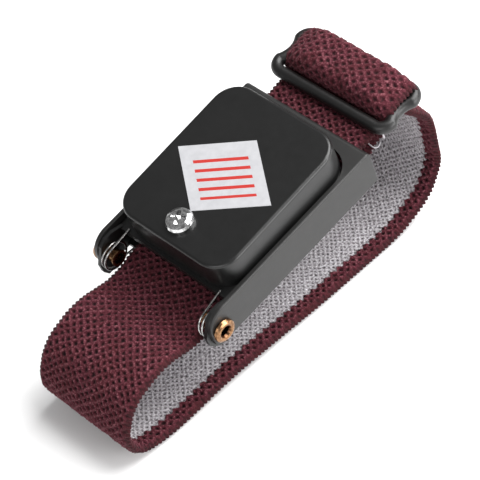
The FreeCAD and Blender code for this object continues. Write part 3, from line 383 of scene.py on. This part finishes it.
def band_route():
    """The route in millimetres, X and Z, and the points where it changes body."""
    half, thin, gap = 0.75, 0.6, 0.05
    left, high = -44.45, 19.5
    right = on_table(SLIDER_X, SLIDER_Z)[0] + 12.3
    on_floor = 1.0 + 0.06 + half
    flange = 1.75 + 0.45
    inside = [on_table(PIN_X - 5.4, on_floor), on_table(-19.8, on_floor),
              on_table(HINGE[0] - 0.6, HINGE[1] - flange - half),
              on_table(HINGE[0] - 4.5, HINGE[1] - flange - half)]
    around = [
        (left * 0.74, high), (left * 0.935, high * 0.815), (left * 1.009, high * 0.42),
        (left * 0.955, high * 0.113), (left * 0.81, half), (left * 0.67, half),
        (left * 0.4, high * 0.098), (left * 0.067, high * 0.067), (right * 0.18, half),
        (right * 0.69, half), (right * 0.905, high * 0.236), (right * 0.9885, high * 0.58)]
    way = (-0.098, 1.0)
    split = shift(around[-1], way, high * 0.26)
    layer = BAR + 2 * gap + 0.8 + thin
    far_slot, near_slot = SLIDER_X + layer, SLIDER_X - layer
    down = (0.1, -1.0)
    entry = (far_slot + BAR / 5, SLIDER_Z - BAR - 1.2)
    over = SLIDER_Z + BAR + 2 * gap + thin
    top = over + 2.7 * thin
    far_edge = SLIDER_X + SLOT + 2 * BAR
    meet = (SLIDER_X - SLOT - 3 * BAR, SLIDER_Z - BAR - gap - thin)
    slider = [
        shift(entry, down, 2.4), entry, shift(entry, down, -2.9 * BAR),
        (far_edge - 2.6 * thin, over), (far_edge, over), (far_edge, top + 0.15 * thin),
        (far_edge - 4.3 * thin, top + 0.4 * thin), (near_slot + 1.5 * thin, top - 0.15 * thin),
        (near_slot, SLIDER_Z + 2.5 * thin),
        shift(meet, (1, 0.03), near_slot - meet[0]), meet, shift(meet, (1, 0.03), -1.2)]
    ring = PIN_R + gap + half
    exit_x = FRAME_END + END_WALL / 4
    tail_z = SLIDER_Z - BAR - gap - 2 * thin - 0.07 - 0.4
    run_z = tail_z - 1.15 - 0.02
    low_x = SLIDER_X - 4 * BAR
    wrap = BAR + gap + 0.4
    anchor = [
        (exit_x + 1.2, PIN_Z + ring), (exit_x, PIN_Z + ring), (PIN_X - ring, PIN_Z + ring),
        (PIN_X - ring, PIN_Z - ring), (exit_x, PIN_Z - ring), (exit_x + 1.2, PIN_Z - ring),
        (low_x - 1.2, run_z), (low_x, run_z), (SLIDER_X - 0.9 * BAR, run_z),
        (SLIDER_X + wrap, SLIDER_Z - wrap * 1.1), (SLIDER_X + wrap, SLIDER_Z + wrap),
        (SLIDER_X - wrap, SLIDER_Z + wrap), (SLIDER_X - wrap, tail_z),
        (SLIDER_X - 5.85, tail_z)]
    points = inside + around + [split, shift(split, way, 8.6)]
    points += [on_table(*p) for p in slider + anchor]
    marks = [split, on_table(*entry), on_table(*meet), on_table(exit_x, PIN_Z + ring),
             on_table(exit_x, PIN_Z - ring), on_table(low_x, run_z)]
    return rounded_path(points), marks


ROUTE, MARKS = band_route()
ROUTE_STEP = 0.05
ROUTE_S = np.arange(len(ROUTE)) * ROUTE_STEP
CUTS = []
for mark in MARKS:
    start = CUTS[-1] if CUTS else 0.0
    away = np.linalg.norm(ROUTE - np.array(mark), axis=1)
    away[ROUTE_S < start] = 99
    near = np.where((away < 0.6))[0]
    first = near[0]
    stretch = near[near < first + 60]
    CUTS.append(float(ROUTE_S[stretch[np.argmin(away[stretch])]]))
ROUTE_END = float(ROUTE_S[-1])


def half_at(s):
    """Half thickness along the band: thinner where it is squeezed on the slider."""
    places = [0, CUTS[1] - 1.0, CUTS[1] + 1.0, CUTS[2] - 1.0, CUTS[2] + 0.5,
              CUTS[5] - 0.5, CUTS[5] + 0.6, ROUTE_END]
    halves = [BAND_HALF, BAND_HALF, BRIDGE_HALF, BRIDGE_HALF, BAND_HALF,
              BAND_HALF, FOLD_HALF, FOLD_HALF]
    return np.interp(s, places, halves)


def lattice(u, v):
    """Offset rows of stitches: 1 in each hole between them, -1 on each stitch."""
    return np.cos(2 * np.pi * u) * np.cos(2 * np.pi * v)


def strands(u, v):
    """Two sets of plaited yarns that cross over and under, from 0 to 1."""
    first = 0.5 - 0.5 * np.cos(2 * np.pi * (u + v))
    second = 0.5 - 0.5 * np.cos(2 * np.pi * (u - v))
    over = 0.5 + 0.5 * np.sin(2 * np.pi * u) * np.sin(2 * np.pi * v)
    ply_a = 0.16 * np.sin(2 * np.pi * (3.0 * (u - v) + 1.2 * (u + v)))
    ply_b = 0.16 * np.sin(2 * np.pi * (3.0 * (u + v) - 1.2 * (u - v)))
    uneven = 0.82 + 0.36 * site_noise(u + 0.25, v + 0.25, 5)
    return np.maximum(first * (0.55 + 0.45 * over) * (1 + ply_a),
                      second * (1.0 - 0.45 * over) * (1 + ply_b)) * uneven


def wander(s, y, seed, size):
    """Slow wander of the stitches, the same on every piece of the band."""
    r = np.random.default_rng(seed)
    total = np.zeros(np.broadcast(s, y).shape)
    for _ in range(6):
        ks, ky = r.normal(0, 1 / size, 2)
        total += np.sin(2 * np.pi * (ks * s + ky * y) + r.uniform(0, 6.28))
    return total / 6


def site_noise(u, v, seed):
    """A number from 0 to 1 for each hole of the lattice."""
    a = np.round(u * 2).astype(int)
    b = np.round(v * 2).astype(int)
    h = np.sin(a * 127.1 + b * 311.7 + seed * 74.7) * 43758.5453
    return h - np.floor(h)


def smoothstep(low, high, x):
    t = np.clip((x - low) / (high - low), 0, 1)
    return t * t * (3 - 2 * t)


def pillow(s):
    """Where the band is heaped over the slider, from 0 to 1 and back."""
    start, end = CUTS[1] + HEAP_START, CUTS[2] - HEAP_END
    rise = smoothstep(start, start + HEAP_RAMP, s)
    return rise * (1 - smoothstep(end - HEAP_RAMP, end, s))


def cross_section(half):
    """Places round the band's section: y, side (-1 inner to 1 outer) and its normal."""
    wide = BAND_WIDTH / 2 - half
    count = int(round(2 * wide / STEP_ACROSS))
    flat = np.linspace(-wide, wide, count + 1)
    turn = np.linspace(0, np.pi, 11)[1:-1]
    y = np.concatenate([flat, wide + np.sin(turn) * half, flat[::-1],
                        -wide - np.sin(turn) * half])
    n = np.concatenate([np.ones(len(flat)), np.cos(turn), -np.ones(len(flat)),
                        -np.cos(turn)])
    ny = np.concatenate([np.zeros(len(flat)), np.sin(turn), np.zeros(len(flat)),
                         -np.sin(turn)])
    return y, n, ny


def band_mesh(name, start, end):
    """One stretch of knitted band as a closed mesh with its stitches in relief."""
    count = max(6, int(round((end - start) / STEP_ALONG)))
    s = np.linspace(start, end, count + 1)
    centre = np.stack([np.interp(s, ROUTE_S, ROUTE[:, k]) for k in (0, 1)], axis=1)
    ahead = np.stack([np.interp(s + 0.15, ROUTE_S, ROUTE[:, k]) for k in (0, 1)], axis=1)
    behind = np.stack([np.interp(s - 0.15, ROUTE_S, ROUTE[:, k]) for k in (0, 1)], axis=1)
    way = ahead - behind
    way /= np.linalg.norm(way, axis=1)[:, None]
    outward = np.stack([way[:, 1], -way[:, 0]], axis=1)
    half = half_at(s)
    y, n, ny = cross_section(BAND_HALF)
    S, Y = s[:, None], y[None, :]
    N = np.broadcast_to(n[None, :], (len(s), len(y)))
    u = S / WALE_PITCH + 0.16 * wander(S, Y, 3, 9) + 0.10 * wander(S, Y, 13, 2.5)
    v = Y / COURSE_PITCH + 0.12 * wander(S, Y, 4, 8) + 0.10 * wander(S, Y, 14, 2.5)
    p = lattice(u, v)
    strength = 0.45 + 0.65 * site_noise(u, v, 1)
    tooth = np.abs((S / TOOTH_PITCH) % 1.0 - 0.5) * 2
    border = BAND_WIDTH / 2 - SELVAGE + TOOTH_HEIGHT * (tooth - 0.5)
    grey = np.where((N < 0.0) & (np.abs(Y) < border), 1.0, 0.0)
    cord = strands(u, v)
    iu, iv = u / LINING_PITCH + 0.5, v / LINING_PITCH
    inner_cord = strands(iu, iv)
    pit_out = smoothstep(0.25, 0.90, p) * strength
    pit_in = smoothstep(0.30, 0.92, lattice(iu, iv)) * (0.45 + 0.65 * site_noise(iu, iv, 2))
    pit = np.clip(np.where(N > 0, pit_out, pit_in * 0.85), 0, 1)
    selvage = (N < 0) & (grey == 0)
    pit = np.where(selvage, pit_out, pit)
    edge = smoothstep(BAND_WIDTH / 2 - EDGE_REACH, BAND_WIDTH / 2, np.abs(Y) * np.ones_like(p))
    pit = pit * (1 - edge)
    cord = np.where((N > 0) | selvage, cord, 0.6 * inner_cord) * (1 - edge)
    relief = CORD_RELIEF * (cord - 0.50) - PIT_RELIEF * pit
    relief = relief + WAVE_RELIEF * wander(S, Y, 5, 0.9)
    relief = np.where(N > 0, relief, np.where(grey > 0, LINING_RELIEF, 1.0) * relief)
    loop = np.abs(np.cos(np.pi * (S / SCALLOP_PITCH + 0.08 * wander(S, Y * 0, 6, 5))))
    scallop = SCALLOP_REST * edge + SCALLOP_DEPTH * (loop - 0.45) * edge
    scallop = scallop + 0.06 * wander(S, Y, 9, 1.3)
    reach = np.clip(half[:, None] / BAND_HALF, 0.3, 1)
    off = N * half[:, None] + relief * reach * N
    x = centre[:, :1] + outward[:, :1] * off
    z = centre[:, 1:] + outward[:, 1:] * off
    heap = pillow(s)[:, None]
    # The painted shade in the holes is made weaker on the heap; the relief is already made, so
    # only the pit colour changes
    pit = pit * (1 - 0.35 * heap)
    fall = FALL_NEAR * smoothstep(6.5, 14.4, -Y) + FALL_FAR * smoothstep(7.0, 14.2, Y)
    drop = heap * (fall + 0.10 - 0.20 * wander(S, Y, 21, 7))
    x, z = x + UP[0] * -drop, z + UP[1] * -drop
    spread = np.where(Y < 0, SPREAD_NEAR, SPREAD_FAR)
    yy = Y * (1 + spread * heap) + ny[None, :] * scallop
    co = np.stack([x, np.broadcast_to(yy, x.shape), z], axis=-1).reshape(-1, 3) * MM
    rows, cols = len(s), len(y)
    i = np.arange(rows - 1)[:, None] * cols
    j = np.arange(cols)[None, :]
    k = (j + 1) % cols
    quads = np.stack([i + j, i + k, i + cols + k, i + cols + j], axis=-1).reshape(-1, 4)
    caps = [list(range(cols)), [(rows - 1) * cols + c for c in range(cols)][::-1]]
    mesh = bpy.data.meshes.new(name)
    mesh.from_pydata(co.tolist(), [], quads.tolist() + caps)
    mesh.validate()
    mesh.update()
    # pit carries the painted shade of the holes into the yarn colour
    for key, values in (("pit", pit), ("zone", grey), ("cord", cord)):
        layer = mesh.attributes.new(key, "FLOAT", "POINT")
        layer.data.foreach_set("value", np.ascontiguousarray(
            np.broadcast_to(values, x.shape), dtype=np.float32).ravel())
    mesh.polygons.foreach_set("use_smooth", [True] * len(mesh.polygons))
    obj = bpy.data.objects.new(name, mesh)
    bpy.context.collection.objects.link(obj)
    turn_out(mesh)
    paint(obj, MATERIALS["knit"])
    return obj


def turn_out(mesh):
    """Make the faces point outwards."""
    bm = bmesh.new()
    bm.from_mesh(mesh)
    bmesh.ops.recalc_face_normals(bm, faces=bm.faces)
    bm.to_mesh(mesh)
    bm.free()


def place_band():
    """Make the band's pieces, each in place of its solid and on its body."""
    split, entry, meet, exit_up, exit_low, fold = CUTS
    marks = [(x * MM, 0, z * MM) for x, z in MARKS]
    pieces = [
        ("knit_loop", 0.0, split, "strap_band", "frame", None),
        ("knit_turn", split, entry, "strap_right_turn", None, (marks[0], marks[1])),
        ("knit_bridge", entry, meet, "strap_bridge", "slider", None),
        ("knit_upper_run", meet, exit_up, "strap_upper_run", None, (marks[3], marks[2])),
        ("knit_anchor_loop", exit_up, exit_low, "strap_anchor_loop", "frame", None),
        ("knit_lower_run", exit_low, fold, "strap_lower_run", None, (marks[4], marks[5])),
        ("knit_end_fold", fold, ROUTE_END, "strap_end_fold", "slider", None)]
    for name, start, end, node, body, ends in pieces:
        obj = band_mesh(name, start, end)
        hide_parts(node)
        if body:
            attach(obj, body)
        else:
            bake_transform(obj)


place_band()


# A loose end of the white sewing thread, on the near edge of the folded band

def thread_end(name, points, radius=0.13):
    """A short length of thread through points in the slider's own axes, in millimetres."""
    pts = np.array([(*on_table(x, z), y) for x, y, z in points])[:, [0, 2, 1]] * MM
    curve = bpy.data.curves.new(name, "CURVE")
    curve.dimensions = "3D"
    curve.bevel_depth = radius * MM
    curve.bevel_resolution = 3
    curve.use_fill_caps = True
    line = curve.splines.new("NURBS")
    line.points.add(len(pts) - 1)
    for point, place in zip(line.points, pts):
        point.co = (*place, 1)
    line.use_endpoint_u = True
    line.order_u = 3
    shape = bpy.data.objects.new(name + "_curve", curve)
    bpy.context.collection.objects.link(shape)
    mesh = bpy.data.meshes.new_from_object(
        shape.evaluated_get(bpy.context.evaluated_depsgraph_get()))
    bpy.data.objects.remove(shape)
    obj = bpy.data.objects.new(name, mesh)
    bpy.context.collection.objects.link(obj)
    turn_out(mesh)
    mesh.polygons.foreach_set("use_smooth", [True] * len(mesh.polygons))
    paint(obj, MATERIALS["thread"])
    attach(obj, "slider")


SEAM_X, SEAM_Y, SEAM_Z = SLIDER_X - 6.6, -BAND_WIDTH / 2, SLIDER_Z - BAR - 1.9
thread_end("seam_thread_tail", [
    (SEAM_X - 0.9, SEAM_Y + 0.7, SEAM_Z - 0.5), (SEAM_X - 1.0, SEAM_Y - 0.40, SEAM_Z - 0.9),
    (SEAM_X - 0.5, SEAM_Y - 0.80, SEAM_Z - 1.5), (SEAM_X + 0.3, SEAM_Y - 0.95, SEAM_Z - 1.6),
    (SEAM_X + 0.9, SEAM_Y - 0.60, SEAM_Z - 1.4)], radius=0.12)


# Camera, light and floor

def make_camera():
    data = bpy.data.cameras.new("camera")
    data.sensor_width = 36.0
    data.lens = CAMERA_LENS
    data.clip_start, data.clip_end = 0.01, 10.0
    obj = bpy.data.objects.new("camera", data)
    obj.location = Vector(CAMERA_PLACE) * MM
    obj.rotation_euler = [math.radians(a) for a in CAMERA_TURN]
    bpy.context.collection.objects.link(obj)
    bpy.context.scene.camera = obj


def area_light(name, place, size, power):
    data = bpy.data.lights.new(name, "AREA")
    data.shape = "RECTANGLE"
    data.size, data.size_y = size
    data.energy = power
    obj = bpy.data.objects.new(name, data)
    obj.location = place
    aim = Vector(LIGHT_TARGET) - Vector(place)
    obj.rotation_euler = aim.to_track_quat("-Z", "Y").to_euler()
    bpy.context.collection.objects.link(obj)


def make_stage():
    bpy.ops.mesh.primitive_plane_add(size=4.0, location=(0, 0, -0.0002))
    floor = bpy.context.object
    floor.name = "floor"
    m = Nodes("floor_pale")
    m.link(m.ramp(m.noise(4, 2.0), [(0.3, (0.80, 0.80, 0.80)), (0.7, (0.82, 0.82, 0.82))]),
           m.shader.inputs["Base Color"])
    m.set(Roughness=0.9)
    paint(floor, m.material)
    world = bpy.data.worlds.new("studio")
    bpy.context.scene.world = world
    world.use_nodes = True
    back = world.node_tree.nodes["Background"]
    back.inputs["Color"].default_value = (1, 1, 1, 1)
    back.inputs["Strength"].default_value = SKY_STRENGTH
    bpy.context.scene.view_settings.view_transform = "Standard"
    for name, place, size, power in LIGHTS:
        area_light(name, place, size, power)


make_camera()
make_stage()
